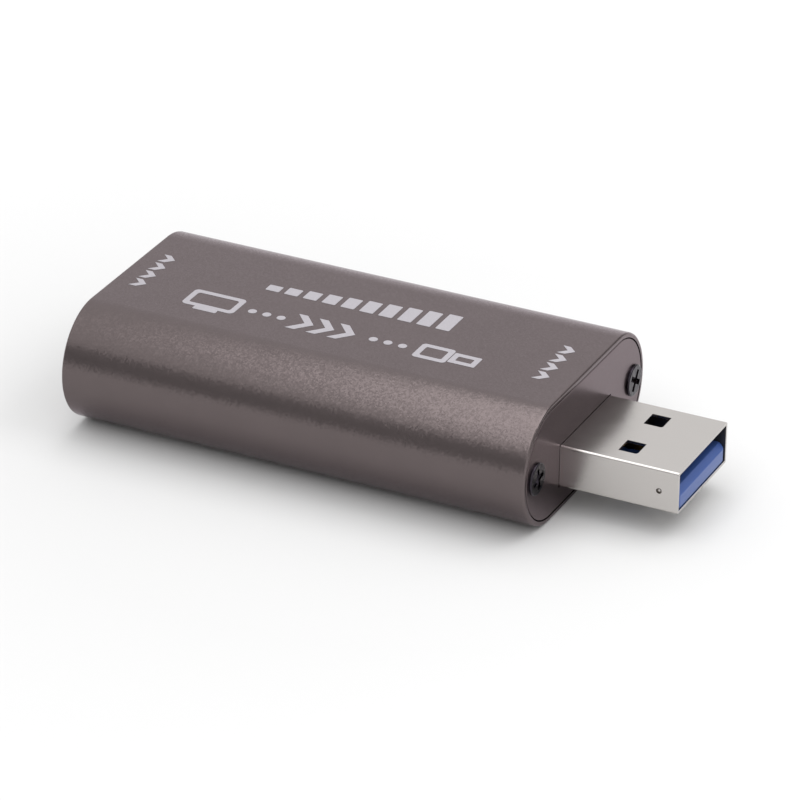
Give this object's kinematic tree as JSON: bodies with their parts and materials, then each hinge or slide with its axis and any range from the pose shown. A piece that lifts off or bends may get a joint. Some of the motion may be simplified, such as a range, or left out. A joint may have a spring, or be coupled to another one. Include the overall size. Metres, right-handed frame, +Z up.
{
  "type": "video capture box",
  "caption": "Pocket-size extruded metal box with rounded sides, a flat data plug at one end and a video socket in the other, for turning a video signal into data.",
  "frame": {"origin": "under the middle of the whole box, on the surface it rests on", "axes": "+X out of the data plug, +Z up through the printed broad face, +Y across the box"},
  "size_m": [0.0636, 0.0284, 0.0127],
  "materials": {
    "anodised_body": "bead-blasted and anodised warm grey",
    "anodised_plate": "fine satin, anodised warm grey",
    "dark_screw_steel": "glossy black plating",
    "nickel_plated_steel": "satin nickel plate",
    "blue_insulator": "satin moulded blue",
    "black_insulator": "satin moulded black",
    "gold_plated_contact": "thin gold plate",
    "green_board": "green solder mask on glass laminate",
    "chip_package": "matt moulded black, with tinned leads",
    "crystal_can": "plain metal lid on a ceramic tray",
    "inductor_core": "matt grey ferrite",
    "ceramic_tan": "tan ceramic with tinned ends",
    "resistor_black": "black glaze with tinned ends"
  },
  "bodies": {
    "root": {"shell": "anodised_body", "output_end_plate": "anodised_plate", "input_end_plate": "anodised_plate", "output_end_screws": "dark_screw_steel", "input_end_screws": "dark_screw_steel", "plug_shell": "nickel_plated_steel", "plug_tongue": "blue_insulator", "plug_rear_block": "blue_insulator", "plug_flat_contacts": "gold_plated_contact", "plug_spring_contacts": "gold_plated_contact", "main_board": "green_board", "socket_shell": "nickel_plated_steel", "socket_body": "black_insulator", "socket_upper_contacts": "gold_plated_contact", "socket_lower_contacts": "gold_plated_contact", "capture_chip": "chip_package", "memory_chip": "chip_package", "voltage_regulator": "chip_package", "surge_arrays": "chip_package", "crystal": "crystal_can", "power_inductor": "inductor_core", "ceramic_capacitors": "ceramic_tan", "chip_resistors": "resistor_black"}
  },
  "joints": []
}
